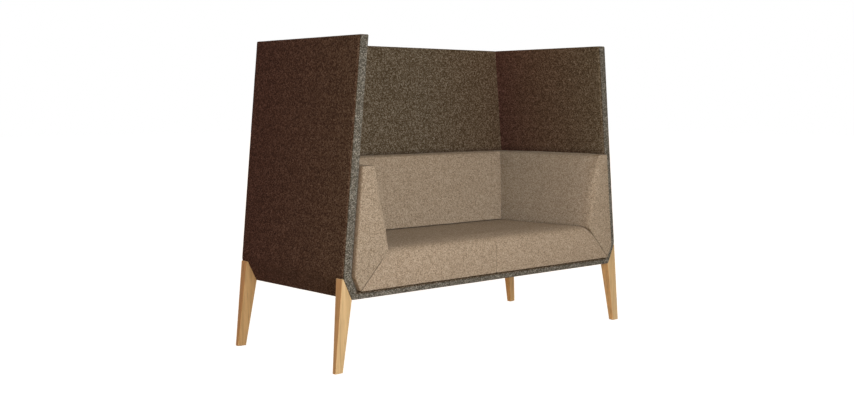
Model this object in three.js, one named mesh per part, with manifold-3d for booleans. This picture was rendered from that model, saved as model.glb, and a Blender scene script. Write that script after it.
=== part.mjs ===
// A two-seat high back sofa: a folded felt shell on four oak legs, with a padded seat, arms and back.
// Millimetres. +X is to the right seen from the front, +Y to the back, +Z up, and the floor is at zero.
// Left and right are those of someone who faces the sofa. Depths are measured back from the shell's front.
import * as THREE from "three";
import { mergeVertices } from "three/addons/utils/BufferGeometryUtils.js";
import Module from "manifold-3d";

const wasm = await Module();
wasm.setup();

// Room between pieces that touch, between the pads and the shell, and between two sewn pads
const clearance = 0.3;
const padGap = 2;
const seamGap = 0.6;
const overrun = 20;

// Shell, over its outside
const shellHeight = 1270;
const shellDepth = 701;
const rimHalfWidth = 703.5;
const baseHalfWidth = 751;
const baseHeight = 276;
const foldOut = 41;
const foldRise = 86.7;

// Thickness of the shell's panels, each with a felt skin on both faces of a board
const sideWall = 36.8;
const cornerWall = 34;
const baseWall = 28;
const backWall = 37;
const skinThickness = 3;

// Front edge band
const bandDepth = 4;
const bandRounding = 3;

// Seat, arms and back
const padProud = 21;
const seatThickness = 155;
const armRise = 322;
const armThicknessAtSeat = 163.5;
const armThicknessAtTop = 68;
const backThicknessAtSeat = 142;
const backThicknessAtTop = 67;
const coverThickness = 2.5;
const padBoardThickness = 12;
const padCrown = 4;

// Rounding of the pads: how far each rounded corner reaches along its two sides
const seatFrontReach = 22;
const padTopReach = 9;
const padSoftReach = 7;
const openEdgeReach = 1;
const padEndRounding = 28;
const seamRounding = 9;
const seamDraw = 4;

// Seat frame and webbing
const railHeight = 70;
const railWidth = 40;
const frameInset = 12;
const frameSetback = 16;
const webbingThickness = 2.5;
const strapWidth = 50;
const strapsAcross = 9;
const strapsAlong = 5;

// Legs
const legInset = 4;
const legProud = 5;
const legTopDrop = 4.7;
const legTopDepth = 38.5;
const footOut = 40;
const footWidth = 36;
const footOuterDepth = 18;
const footInnerDepth = 25;
const legEdge = 1.5;

// Leg fixings and glides
const plateLength = 50;
const plateWidth = 32;
const plateThickness = 4;
const boltPitch = 30;
const boltRadius = 4;
const boltGrip = 14;
const boltHeadRadius = 7;
const boltHeadHeight = 4.5;
const glideRadius = 7;
const glideHeight = 2.5;
const glidePinRadius = 2;
const glidePinLength = 14;

// How finely rounded stretches are divided
const roundSides = 20;
const fine = { corner: 5, side: 6, end: 4, run: 5 };
const coarse = { corner: 3, side: 2, end: 2, run: 2 };

// Heights and depths that follow
const foldHeight = baseHeight + foldRise;
const foldHalfWidth = baseHalfWidth + foldOut;
const floorOfPads = baseHeight + baseWall;
const padBottom = floorOfPads + padGap;
const seatTop = padBottom + seatThickness;
const padTop = seatTop + armRise;
const backFace = shellDepth - backWall;
const padRear = backFace - padGap;
const creaseDepth = backFace - backThicknessAtSeat;
const backTopDepth = backFace - backThicknessAtTop;
const railTop = floorOfPads + railHeight;
const webbingTop = railTop + webbingThickness;

// Materials

function finish(color, roughness, metalness = 0) {
  return new THREE.MeshStandardMaterial({ color, roughness, metalness });
}

const darkFelt = finish(0x46382a, 0.95);
const edgeFelt = finish(0x6e675b, 0.95);
const beigeFabric = finish(0xa08c72, 0.95);
const oak = finish(0xb5874f, 0.55);
const plywood = finish(0xc9a876, 0.7);
const foam = finish(0xe6e0cc, 1);
const webbing = finish(0x2b2b2b, 0.9);
const zincedSteel = finish(0xa8abb0, 0.35, 1);
const blackPlastic = finish(0x1c1c1c, 0.5);

// Lines and outlines. An outline runs anticlockwise, so its inside is on its left.

function point(across, up) {
  return new THREE.Vector2(across, up);
}

// The line from one point to another, moved to its left by a distance.
function lineInside(from, to, distance) {
  const along = to.clone().sub(from).normalize();
  const left = point(-along.y, along.x);
  return { start: from.clone().addScaledVector(left, distance), along };
}

function levelLine(height) {
  return { start: point(0, height), along: point(1, 0) };
}

function crossing(first, second) {
  const between = second.start.clone().sub(first.start);
  const reach = between.cross(second.along) / first.along.cross(second.along);
  return first.start.clone().addScaledVector(first.along, reach);
}

// An outline with each side moved inwards by its own distance.
function insetOutline(corners, distances) {
  const sides = corners.map((corner, i) => {
    const next = corners[(i + 1) % corners.length];
    return lineInside(corner, next, distances[i]);
  });
  return sides.map((side, i) => crossing(sides.at(i - 1), side));
}

// An outline drawn back by half the clearance, so that neighbours keep the whole of it between them.
function eased(corners) {
  return insetOutline(corners, corners.map(() => clearance / 2));
}

// The right half of an outline, from its bottom up, completed by its mirror image.
function bothHalves(rightHalf) {
  const leftHalf = rightHalf.map(({ x, y }) => point(-x, y)).reverse();
  return [...rightHalf, ...leftHalf];
}

// The rounding that is left of each corner at some depth under it.
function reachesInside(reaches, depth) {
  return reaches.map((reach) => Math.max(reach - depth, openEdgeReach));
}

// An outline with rounded corners, and with points along each side so that it can swell.
function softOutline(corners, reaches, steps) {
  const bends = corners.map((corner, i) => {
    const before = corners.at(i - 1);
    const after = corners[(i + 1) % corners.length];
    const start = corner.clone().lerp(before, reaches[i] / corner.distanceTo(before));
    const end = corner.clone().lerp(after, reaches[i] / corner.distanceTo(after));
    return new THREE.QuadraticBezierCurve(start, corner, end).getPoints(steps.corner);
  });
  return bends.flatMap((bend, i) => {
    const start = bend.at(-1);
    const end = bends[(i + 1) % bends.length][0];
    const between = [];
    for (let k = 1; k < steps.side; k++) between.push(start.clone().lerp(end, k / steps.side));
    return [...bend, ...between];
  });
}

// Solids

function middleOf(outline) {
  const sum = outline.reduce((total, corner) => total.add(corner), point(0, 0));
  return sum.divideScalar(outline.length);
}

// A closed solid through a row of outlines, which go towards whoever sees them run anticlockwise. Each
// end is a fan of triangles from its hub, a point that all of the outline can be seen from.
function loft(outlines, place, hubOf = middleOf) {
  const size = outlines[0].length;
  const points = outlines.flatMap((outline, station) => outline.map((p) => place(p, station)));
  const faces = [];
  for (let station = 0; station + 1 < outlines.length; station++) {
    for (let i = 0; i < size; i++) {
      const here = station * size + i;
      const next = station * size + ((i + 1) % size);
      faces.push(here, next, next + size, here, next + size, here + size);
    }
  }
  const lastStation = outlines.length - 1;
  const last = lastStation * size;
  const firstHub = points.push(place(hubOf(outlines[0]), 0)) - 1;
  const lastHub = points.push(place(hubOf(outlines[lastStation]), lastStation)) - 1;
  for (let i = 0; i < size; i++) {
    const next = (i + 1) % size;
    faces.push(firstHub, next, i, lastHub, last + i, last + next);
  }
  return new THREE.BufferGeometry().setFromPoints(points).setIndex(faces);
}

// A plate whose outline is seen from the front, between two depths.
function slab(corners, front, back) {
  const depth = back - front - clearance;
  const shape = new THREE.Shape(eased(corners));
  const geometry = new THREE.ExtrudeGeometry(shape, { depth, bevelEnabled: false });
  return geometry.rotateX(Math.PI / 2).translate(0, back - clearance / 2, 0);
}

// A block between two corners, drawn back by half the clearance on every side.
function block(low, high) {
  const size = high.clone().sub(low);
  const box = new THREE.BoxGeometry(size.x - clearance, size.y - clearance, size.z - clearance);
  return box.translate(low.x + size.x / 2, low.y + size.y / 2, low.z + size.z / 2);
}

function toSolid(geometry) {
  const bare = geometry.clone();
  bare.deleteAttribute("normal");
  bare.deleteAttribute("uv");
  const merged = mergeVertices(bare);
  const vertProperties = new Float32Array(merged.attributes.position.array);
  const triVerts = new Uint32Array(merged.index.array);
  return new wasm.Manifold(new wasm.Mesh({ numProp: 3, vertProperties, triVerts }));
}

function toGeometry(solid) {
  const mesh = solid.getMesh();
  const position = new THREE.BufferAttribute(mesh.vertProperties, 3);
  const index = new THREE.BufferAttribute(mesh.triVerts, 1);
  return new THREE.BufferGeometry().setAttribute("position", position).setIndex(index);
}

function cut(geometry, tools) {
  return toGeometry(tools.reduce((solid, tool) => solid.subtract(toSolid(tool)), toSolid(geometry)));
}

function joined(first, second) {
  return toGeometry(toSolid(first).add(toSolid(second)));
}

// Steps round a quarter circle at the end of a piece: the distance from the end, and the share of the
// rounding that is taken off there. They start at the end's flat face.
function roundedEnd(radius, steps) {
  const stations = [];
  for (let k = 0; k <= steps; k++) {
    const angle = ((k / steps) * Math.PI) / 2;
    stations.push({ along: radius * (1 - Math.cos(angle)), share: 1 - Math.sin(angle) });
  }
  return stations;
}

// A hump that is one halfway from start to end and zero outside them.
function hump(value, start, end) {
  const share = THREE.MathUtils.clamp((value - start) / (end - start), 0, 1);
  return 4 * share * (1 - share);
}

// The shell's section: its right half goes from the middle of the underside to the lower corner, out to
// the fold and up to the rim. Each line can be taken at any depth under the outer face.

const lowerCorner = point(baseHalfWidth, baseHeight);
const fold = point(foldHalfWidth, foldHeight);
const rim = point(rimHalfWidth, shellHeight);
const baseLine = (depth) => lineInside(point(0, baseHeight), lowerCorner, depth);
const cornerLine = (depth) => lineInside(lowerCorner, fold, depth);
const sideLine = (depth) => lineInside(fold, rim, depth);

const boardTop = shellHeight - skinThickness;
const boardSide = sideWall - skinThickness;
const skinLowerCorner = crossing(baseLine(skinThickness), cornerLine(skinThickness));
const skinFold = crossing(cornerLine(skinThickness), sideLine(skinThickness));
const skinTop = crossing(sideLine(skinThickness), levelLine(boardTop));
const innerLowerCorner = crossing(baseLine(baseWall), cornerLine(cornerWall));
const innerFold = crossing(cornerLine(cornerWall), sideLine(sideWall));
const innerTop = crossing(sideLine(sideWall), levelLine(boardTop));
const innerRim = crossing(sideLine(sideWall), levelLine(shellHeight));
const boardFold = crossing(cornerLine(cornerWall), sideLine(boardSide));
const boardRim = crossing(sideLine(boardSide), levelLine(boardTop));

// The lower corner's own frame: X goes up its outer face, Y back and Z into the shell.
const cornerSlope = Math.atan2(foldRise, foldOut);
const cornerFrame = new THREE.Matrix4()
  .makeRotationY(-cornerSlope)
  .setPosition(lowerCorner.x, 0, lowerCorner.y);

// How far up the outer face a point of the section lies.
function upCorner(sectionPoint) {
  return sectionPoint.clone().sub(lowerCorner).dot(cornerLine(0).along);
}

const plateCentre = (upCorner(innerLowerCorner) + upCorner(innerFold)) / 2;
const boltPlaces = { lower: plateCentre - boltPitch / 2, upper: plateCentre + boltPitch / 2 };
const boltDepth = legInset + legTopDepth / 2;

// Cutters for the two bolts of a leg, in the shell's frame.
function boltHoles(depth) {
  const radius = boltRadius + clearance;
  const length = boltGrip + clearance + cornerWall + plateThickness + overrun;
  return Object.values(boltPlaces).map((up) =>
    new THREE.CylinderGeometry(radius, radius, length, roundSides)
      .rotateX(Math.PI / 2)
      .translate(up, depth, length / 2 - boltGrip - clearance)
      .applyMatrix4(cornerFrame),
  );
}

function holesForBothLegs() {
  return [...boltHoles(boltDepth), ...boltHoles(shellDepth - boltDepth)];
}

// The room that a rear leg's plate and bolt heads need inside a lower corner. A side of 1 is the
// right and -1 the left.
function fixingSpace(side) {
  const height = plateThickness + boltHeadHeight + padGap;
  const frame = new THREE.Matrix4()
    .makeRotationY(-side * cornerSlope)
    .setPosition(side * lowerCorner.x, 0, lowerCorner.y);
  return new THREE.BoxGeometry(plateLength + padGap, plateWidth + padGap, height + overrun)
    .translate(side * plateCentre, shellDepth - boltDepth, cornerWall + (height - overrun) / 2)
    .applyMatrix4(frame);
}

// Shell pieces of the right-hand side

function outerSkin() {
  const outline = [lowerCorner, fold, rim, innerRim, innerTop, skinTop, skinFold, skinLowerCorner];
  return cut(slab(outline, bandDepth, shellDepth - skinThickness), holesForBothLegs());
}

function innerSkin() {
  return slab([boardFold, boardRim, innerTop, innerFold], bandDepth, backFace);
}

function sideBoard() {
  return slab([skinFold, skinTop, boardRim, boardFold], bandDepth, shellDepth - skinThickness);
}

function cornerBoard() {
  const outline = [skinLowerCorner, skinFold, boardFold, innerLowerCorner];
  return cut(slab(outline, bandDepth, shellDepth - skinThickness), holesForBothLegs());
}

// A band along the front edge, rounded over its front where its sides show.
function edgeBand(corners, roundings, hubOf) {
  const outline = eased(corners);
  const stations = [{ along: bandDepth - clearance, share: 0 }];
  stations.push(...roundedEnd(bandRounding, fine.end).reverse());
  const outlines = stations.map(({ share }) =>
    insetOutline(outline, roundings.map((rounding) => rounding * share)),
  );
  return loft(outlines, ({ x, y }, i) => new THREE.Vector3(x, stations[i].along, y), hubOf);
}

function sideBand() {
  const corners = [fold, rim, innerRim, innerFold, innerLowerCorner, lowerCorner];
  const roundings = [bandRounding, bandRounding, bandRounding, bandRounding, 0, bandRounding];
  return edgeBand(corners, roundings, ([outer, , , inner]) => middleOf([outer, inner]));
}

// Shell pieces across the middle

function baseBand() {
  return edgeBand(bothHalves([lowerCorner, innerLowerCorner]), [0, bandRounding, 0, bandRounding]);
}

function backOuterSkin() {
  const flange = bothHalves([innerTop, innerRim]);
  return joined(
    slab(bothHalves([lowerCorner, fold, rim]), shellDepth - skinThickness, shellDepth),
    slab(flange, backFace, shellDepth - clearance),
  );
}

// A sheet between the sides, cut away at its lower corners for the rear legs' fixings.
function backLayer(front, back) {
  const sheet = slab(bothHalves([innerLowerCorner, boardFold, boardRim]), front, back);
  return cut(sheet, [fixingSpace(1), fixingSpace(-1)]);
}

function baseOuterSkin() {
  const outline = bothHalves([lowerCorner, skinLowerCorner]);
  return slab(outline, bandDepth, shellDepth - skinThickness);
}

function baseBoard() {
  const outline = bothHalves([skinLowerCorner, innerLowerCorner]);
  return slab(outline, bandDepth, shellDepth - skinThickness);
}

// The pads' lines: the mitre between seat and arm, and the arm's face above the seat.

const shellSideOfArm = sideLine(sideWall + padGap);
const shellToeOfArm = cornerLine(cornerWall + padGap);
const armToe = crossing(shellToeOfArm, levelLine(padBottom));
const armFold = crossing(shellToeOfArm, shellSideOfArm);
const armOuterTop = crossing(shellSideOfArm, levelLine(padTop));
const armInnerTop = armOuterTop.clone().sub(point(armThicknessAtTop, 0));
const armCrease = crossing(shellSideOfArm, levelLine(seatTop)).sub(point(armThicknessAtSeat, 0));

function mitreAt(height) {
  return armToe.x + ((armCrease.x - armToe.x) * (height - padBottom)) / seatThickness;
}

function armFaceAt(height) {
  return armCrease.x + ((armInnerTop.x - armCrease.x) * (height - seatTop)) / armRise;
}

// The right arm's form, lying inside its full size by the given insets. Its face swells a little
// between the front and the crease with the back.
function armForm({ toe, shell, top, face, mitre, end }, thin, steps) {
  const corners = insetOutline(
    [armToe, armFold, armOuterTop, armInnerTop, armCrease],
    [toe, shell, top, face, mitre],
  );
  const reaches = [padSoftReach, padSoftReach, padSoftReach, padTopReach, padSoftReach];
  const endRounding = padEndRounding - thin;
  const roundings = [seamDraw, seamRounding, padSoftReach, padEndRounding, seamDraw];
  const front = end - padProud;
  const rear = padRear - end;
  const straightStart = front + endRounding;
  const stations = [{ depth: rear, share: 0 }];
  for (let k = 0; k < steps.run; k++) {
    const depth = creaseDepth + ((straightStart - creaseDepth) * k) / steps.run;
    stations.push({ depth, share: 0 });
  }
  const ends = roundedEnd(endRounding, steps.end).reverse();
  stations.push(...ends.map(({ along, share }) => ({ depth: front + along, share })));
  const outlines = stations.map(({ share }) =>
    softOutline(
      insetOutline(corners, roundings.map((rounding) => (rounding - thin) * share)),
      reachesInside(reaches, thin),
      steps,
    ),
  );
  return loft(outlines, ({ x, y }, i) => {
    const { depth } = stations[i];
    const outside = crossing(sideLine(sideWall), levelLine(y)).x;
    const swell = padCrown * hump(y, seatTop, padTop) * hump(depth, -padProud, creaseDepth);
    const share = (outside - x) / (outside - armFaceAt(y));
    return new THREE.Vector3(x - swell * share, depth, y);
  });
}

// Fabric over the arm's face, top, ends and mitre. It is open towards the shell.
function armCover() {
  const gap = seamGap / 2;
  const outside = { toe: 0, shell: 0, top: 0, face: 0, mitre: gap, end: 0 };
  const wall = coverThickness;
  const hollow = { toe: -overrun, shell: -overrun, top: wall, face: wall, mitre: gap + wall, end: wall };
  return cut(armForm(outside, 0, fine), [armForm(hollow, wall, coarse), fixingSpace(1)]);
}

function armFoam() {
  const wall = coverThickness + clearance;
  const shell = padBoardThickness - padGap + clearance;
  const toe = plateThickness + boltHeadHeight + padGap;
  const mitre = wall + seamGap / 2;
  return armForm({ toe, shell, top: wall, face: wall, mitre, end: wall }, wall, coarse);
}

// The board that carries the arm pad, held to the shell's side.
function armBoard() {
  const outer = sideLine(sideWall);
  const inner = sideLine(sideWall + padBoardThickness);
  const low = levelLine(innerFold.y + padBoardThickness);
  const high = levelLine(padTop - coverThickness - clearance);
  const outline = [crossing(outer, low), crossing(outer, high), crossing(inner, high), crossing(inner, low)];
  const end = coverThickness + padEndRounding;
  return slab(outline, end - padProud, padRear - coverThickness);
}

// Stations of a pad that runs from arm to arm: a share of the half width, and an offset from it.
function acrossStations(inset, steps, seam) {
  const ends = roundedEnd(seamRounding - inset, steps.end).map(({ along, share }) => ({
    width: 1,
    offset: along + inset + seamGap / 2,
    draw: share,
  }));
  const right = [];
  for (let k = 1; k < steps.run; k++) right.push({ width: k / steps.run, offset: 0, draw: 0 });
  right.push(...ends.reverse());
  if (seam) right.unshift({ width: 0, offset: -seamDraw, draw: 0 });
  const middle = { width: 0, offset: 0, draw: 0, sewn: seam };
  const left = right.map((station) => ({ ...station, mirrored: true })).reverse();
  return [...left, middle, ...right];
}

function placeAcross({ width, offset, mirrored }, halfWidth) {
  const across = width * halfWidth - offset;
  return mirrored ? -across : across;
}

// The seat's form, seen from its side, inside its full size by the given insets. Its top swells
// between the arms, and a sewn seam can draw its front in at the middle.
function seatForm({ bottom, rear, top, front }, thin, steps, seam) {
  const corners = insetOutline(
    [
      point(-padProud, padBottom),
      point(padRear, padBottom),
      point(padRear, seatTop),
      point(-padProud, seatTop),
    ],
    [bottom, rear, top, front],
  );
  const reaches = [openEdgeReach, padSoftReach, padSoftReach, seatFrontReach];
  const stations = acrossStations(thin, steps, seam);
  const outlines = stations.map(({ draw, sewn }) => {
    const drawn = (seamDraw - thin) * draw;
    const middle = sewn ? seamDraw / 2 : 0;
    return softOutline(
      insetOutline(corners, [0, 0, drawn, drawn + middle]),
      reachesInside(reaches, thin),
      steps,
    );
  });
  return loft(outlines, ({ x: depth, y: height }, i) => {
    const across = placeAcross(stations[i], mitreAt(height));
    const swell = padCrown * hump(across, -armCrease.x, armCrease.x) * hump(depth, -padProud, creaseDepth);
    const share = (height - padBottom) / seatThickness;
    return new THREE.Vector3(across, depth, height + swell * share);
  });
}

// The space of the seat's frame and webbing, behind the padded front.
function frameSpace() {
  const wide = foldHalfWidth;
  const low = new THREE.Vector3(-wide, frameSetback - clearance, baseHeight);
  const high = new THREE.Vector3(wide, shellDepth, webbingTop + clearance);
  return block(low, high);
}

function seatCover() {
  const wall = coverThickness;
  const outside = seatForm({ bottom: 0, rear: 0, top: 0, front: 0 }, 0, fine, true);
  const hollow = seatForm({ bottom: -overrun, rear: wall, top: wall, front: wall }, wall, coarse, false);
  return cut(outside, [hollow, frameSpace()]);
}

function seatFoam() {
  const wall = coverThickness + clearance;
  const insets = { bottom: clearance, rear: wall, top: wall, front: wall + seamDraw / 2 };
  return cut(seatForm(insets, wall, coarse, false), [frameSpace()]);
}

const frameHalfWidth = mitreAt(webbingTop) - frameInset;
const frameRear = padRear - coverThickness - frameInset;

function rail(low, high) {
  return block(new THREE.Vector3(...low, floorOfPads), new THREE.Vector3(...high, railTop));
}

function frontRail() {
  return rail([-frameHalfWidth, frameSetback], [frameHalfWidth, frameSetback + railWidth]);
}

function rearRail() {
  return rail([-frameHalfWidth, frameRear - railWidth], [frameHalfWidth, frameRear]);
}

// A rail between the front and rear rails, from one place across the seat to another.
function crossRail(from, to) {
  return rail([from, frameSetback + railWidth], [to, frameRear - railWidth]);
}

// Straps both ways over the frame, as one mat with an opening between each four crossings.
function webbingMat() {
  const mat = block(
    new THREE.Vector3(-frameHalfWidth, frameSetback, railTop),
    new THREE.Vector3(frameHalfWidth, frameRear, webbingTop),
  );
  const pitchAcross = (2 * frameHalfWidth - strapWidth) / (strapsAcross - 1);
  const pitchAlong = (frameRear - frameSetback - strapWidth) / (strapsAlong - 1);
  const openings = [];
  for (let i = 1; i < strapsAcross; i++) {
    for (let j = 1; j < strapsAlong; j++) {
      const right = i * pitchAcross - frameHalfWidth;
      const far = frameSetback + j * pitchAlong;
      const low = new THREE.Vector3(right + strapWidth - pitchAcross, far + strapWidth - pitchAlong, floorOfPads);
      openings.push(block(low, new THREE.Vector3(right, far, seatTop)));
    }
  }
  return cut(mat, openings);
}

// The back pad's form, seen from its side, inside its full size by the given insets.
function backForm({ bottom, rear, top, front }, thin, steps) {
  const low = seatTop + seamGap;
  const corners = insetOutline(
    [point(creaseDepth, low), point(padRear, low), point(padRear, padTop), point(backTopDepth, padTop)],
    [bottom, rear, top, front],
  );
  const reaches = [padSoftReach, padSoftReach, padSoftReach, padTopReach];
  const stations = acrossStations(thin, steps, false);
  const outlines = stations.map(({ draw }) =>
    softOutline(
      insetOutline(corners, [0, 0, (seamDraw - thin) * draw, (seamDraw - thin) * draw]),
      reachesInside(reaches, thin),
      steps,
    ),
  );
  return loft(outlines, ({ x: depth, y: height }, i) => {
    const across = placeAcross(stations[i], armFaceAt(height));
    const faceDepth = creaseDepth + ((backTopDepth - creaseDepth) * (height - seatTop)) / armRise;
    const swell = padCrown * hump(across, -armCrease.x, armCrease.x) * hump(height, seatTop, padTop);
    const share = (backFace - depth) / (backFace - faceDepth);
    return new THREE.Vector3(across, depth - swell * share, height);
  });
}

// Fabric over the back pad. It is open towards the shell.
function backPadCover() {
  const wall = coverThickness;
  const outside = backForm({ bottom: 0, rear: 0, top: 0, front: 0 }, 0, fine);
  const hollow = backForm({ bottom: wall, rear: -overrun, top: wall, front: wall }, wall, coarse);
  return cut(outside, [hollow]);
}

function backPadFoam() {
  const wall = coverThickness + clearance;
  const rear = padBoardThickness - padGap + clearance;
  return backForm({ bottom: wall, rear, top: wall, front: wall }, wall, coarse);
}

// The board that carries the back pad, held to the shell's back.
function backPadBoard() {
  const low = seatTop + seamGap + coverThickness;
  const high = padTop - coverThickness;
  const inset = seamRounding + coverThickness;
  const outline = bothHalves([point(armFaceAt(low) - inset, low), point(armFaceAt(high) - inset, high)]);
  return slab(outline, backFace - padBoardThickness, backFace);
}

// Legs and their fixings, drawn for the front right corner

function legOutline() {
  const top = levelLine(foldHeight - legTopDrop);
  const topOuter = point(foldHalfWidth + legProud, foldHeight - legTopDrop);
  const footOuter = point(foldHalfWidth + footOut, glideHeight);
  const footInner = point(footOuter.x - footWidth, glideHeight);
  return [footInner, footOuter, topOuter, crossing(cornerLine(0), top), lowerCorner];
}

// The leg's rear face is one plane, set by the leg's depth at its outer top edge and at the foot.
function legRearPlane() {
  const [footInner, footOuter, topOuter] = legOutline();
  return new THREE.Plane().setFromCoplanarPoints(
    new THREE.Vector3(footInner.x, legInset + footInnerDepth, footInner.y),
    new THREE.Vector3(footOuter.x, legInset + footOuterDepth, footOuter.y),
    new THREE.Vector3(topOuter.x, legInset + legTopDepth, topOuter.y),
  );
}

function leg() {
  const { normal, constant } = legRearPlane();
  const outline = eased(legOutline());
  const stations = [
    { rear: true, along: 0, share: 1 },
    { rear: true, along: legEdge, share: 0 },
    { rear: false, along: legEdge, share: 0 },
    { rear: false, along: 0, share: 1 },
  ];
  const outlines = stations.map(({ share }) => insetOutline(outline, outline.map(() => legEdge * share)));
  const geometry = loft(outlines, ({ x, y: z }, i) => {
    const { rear, along } = stations[i];
    const rearDepth = -(constant + normal.x * x + normal.z * z) / normal.y;
    return new THREE.Vector3(x, rear ? rearDepth - along : legInset + along, z);
  });
  return cut(geometry, [...boltHoles(boltDepth), glideHole()]);
}

const footCentre = new THREE.Vector3(
  foldHalfWidth + footOut - footWidth / 2,
  legInset + (footOuterDepth + footInnerDepth) / 4,
  0,
);

function glideHole() {
  const radius = glidePinRadius + clearance;
  const depth = glidePinLength + clearance;
  return new THREE.CylinderGeometry(radius, radius, 2 * depth, roundSides)
    .rotateX(Math.PI / 2)
    .translate(footCentre.x, footCentre.y, glideHeight);
}

// A solid of revolution about Z from a profile of radii and heights, from its bottom up.
function turned(profile) {
  return new THREE.LatheGeometry(profile, roundSides).rotateX(Math.PI / 2);
}

// A disc under the foot, on a pin driven into it.
function glide() {
  const edge = glideHeight / 4;
  const top = glideHeight - clearance / 2;
  const profile = [
    point(0, 0),
    point(glideRadius - edge, 0),
    point(glideRadius, edge),
    point(glideRadius, top),
    point(glidePinRadius, top),
    point(glidePinRadius, glideHeight + glidePinLength),
    point(0, glideHeight + glidePinLength),
  ];
  return turned(profile).translate(footCentre.x, footCentre.y, 0);
}

// A steel plate on the inside of the lower corner, in the corner's frame.
function legPlate() {
  const low = cornerWall;
  const plate = block(
    new THREE.Vector3(plateCentre - plateLength / 2, boltDepth - plateWidth / 2, low),
    new THREE.Vector3(plateCentre + plateLength / 2, boltDepth + plateWidth / 2, low + plateThickness),
  );
  return cut(plate.applyMatrix4(cornerFrame), boltHoles(boltDepth));
}

// A button head bolt through plate, board and skin into the leg.
function legBolt(up) {
  const seat = cornerWall + plateThickness + clearance / 2;
  const edge = boltHeadHeight / 3;
  const profile = [
    point(0, -boltGrip),
    point(boltRadius, -boltGrip),
    point(boltRadius, seat),
    point(boltHeadRadius, seat),
    point(boltHeadRadius, seat + edge),
    point(boltHeadRadius - edge, seat + boltHeadHeight - edge / 2),
    point(boltHeadRadius / 2, seat + boltHeadHeight),
    point(0, seat + boltHeadHeight),
  ];
  return turned(profile).translate(up, boltDepth, 0).applyMatrix4(cornerFrame);
}

// Assembly

function piece(name, geometry, material) {
  const mesh = new THREE.Mesh(geometry, material);
  mesh.name = name;
  return mesh;
}

// One side of the shell with its arm. The left one is the right one's mirror image.
function sideOfSofa(side) {
  const group = new THREE.Group();
  group.scale.x = side === "left" ? -1 : 1;
  group.add(
    piece(`${side}_outer_skin`, outerSkin(), darkFelt),
    piece(`${side}_side_board`, sideBoard(), plywood),
    piece(`${side}_corner_board`, cornerBoard(), plywood),
    piece(`${side}_inner_skin`, innerSkin(), darkFelt),
    piece(`${side}_edge_band`, sideBand(), edgeFelt),
    piece(`${side}_arm_board`, armBoard(), plywood),
    piece(`${side}_arm_foam`, armFoam(), foam),
    piece(`${side}_arm_cover`, armCover(), beigeFabric),
  );
  return group;
}

function backAndBase() {
  const group = new THREE.Group();
  group.add(
    piece("back_outer_skin", backOuterSkin(), darkFelt),
    piece("back_board", backLayer(backFace + skinThickness, shellDepth - skinThickness), plywood),
    piece("back_inner_skin", backLayer(backFace, backFace + skinThickness), darkFelt),
    piece("base_outer_skin", baseOuterSkin(), darkFelt),
    piece("base_board", baseBoard(), plywood),
    piece("base_edge_band", baseBand(), edgeFelt),
  );
  return group;
}

function seat() {
  const group = new THREE.Group();
  group.add(
    piece("front_rail", frontRail(), plywood),
    piece("rear_rail", rearRail(), plywood),
    piece("left_rail", crossRail(-frameHalfWidth, railWidth - frameHalfWidth), plywood),
    piece("right_rail", crossRail(frameHalfWidth - railWidth, frameHalfWidth), plywood),
    piece("centre_rail", crossRail(-railWidth / 2, railWidth / 2), plywood),
    piece("seat_webbing", webbingMat(), webbing),
    piece("seat_foam", seatFoam(), foam),
    piece("seat_cover", seatCover(), beigeFabric),
  );
  return group;
}

function backPad() {
  const group = new THREE.Group();
  group.add(
    piece("back_pad_board", backPadBoard(), plywood),
    piece("back_pad_foam", backPadFoam(), foam),
    piece("back_pad_cover", backPadCover(), beigeFabric),
  );
  return group;
}

// A leg with its fixings. Those of the other corners are the front right one's mirror images.
function legCorner(end, side) {
  const name = `${end}_${side}`;
  const group = new THREE.Group();
  group.scale.set(side === "left" ? -1 : 1, end === "rear" ? -1 : 1, 1);
  group.position.y = end === "rear" ? shellDepth : 0;
  group.add(
    piece(`${name}_leg`, leg(), oak),
    piece(`${name}_leg_plate`, legPlate(), zincedSteel),
    piece(`${name}_leg_upper_bolt`, legBolt(boltPlaces.upper), zincedSteel),
    piece(`${name}_leg_lower_bolt`, legBolt(boltPlaces.lower), zincedSteel),
    piece(`${name}_glide`, glide(), blackPlastic),
  );
  return group;
}

function sofa() {
  const group = new THREE.Group();
  group.position.y = (padProud - shellDepth) / 2;
  group.add(backAndBase(), seat(), backPad());
  for (const side of ["left", "right"]) {
    group.add(sideOfSofa(side), legCorner("front", side), legCorner("rear", side));
  }
  return group;
}

export default sofa();
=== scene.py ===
"""A two-seat high back sofa: a felt shell with a speckled edge band, sewn pads over foam, and oak legs.

Metres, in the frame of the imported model: +X to the right seen from the front, +Y to the back, +Z up.
Depths are measured back from the shell's front edge.
"""

import math

import bmesh
import bpy
import numpy as np
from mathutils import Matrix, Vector
from mathutils.geometry import delaunay_2d_cdt


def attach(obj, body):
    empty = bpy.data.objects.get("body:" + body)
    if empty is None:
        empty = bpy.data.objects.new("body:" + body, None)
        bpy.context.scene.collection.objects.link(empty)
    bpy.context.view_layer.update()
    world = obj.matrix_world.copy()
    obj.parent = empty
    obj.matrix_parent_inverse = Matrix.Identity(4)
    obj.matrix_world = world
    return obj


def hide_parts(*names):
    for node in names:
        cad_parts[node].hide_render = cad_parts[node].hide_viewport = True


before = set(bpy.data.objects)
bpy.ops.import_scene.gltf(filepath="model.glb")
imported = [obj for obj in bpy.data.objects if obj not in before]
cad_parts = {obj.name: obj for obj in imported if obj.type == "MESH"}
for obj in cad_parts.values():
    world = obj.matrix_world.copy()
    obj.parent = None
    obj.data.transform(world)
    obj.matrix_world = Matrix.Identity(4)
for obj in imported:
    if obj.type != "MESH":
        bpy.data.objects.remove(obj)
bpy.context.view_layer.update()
scene = bpy.context.scene

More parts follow.
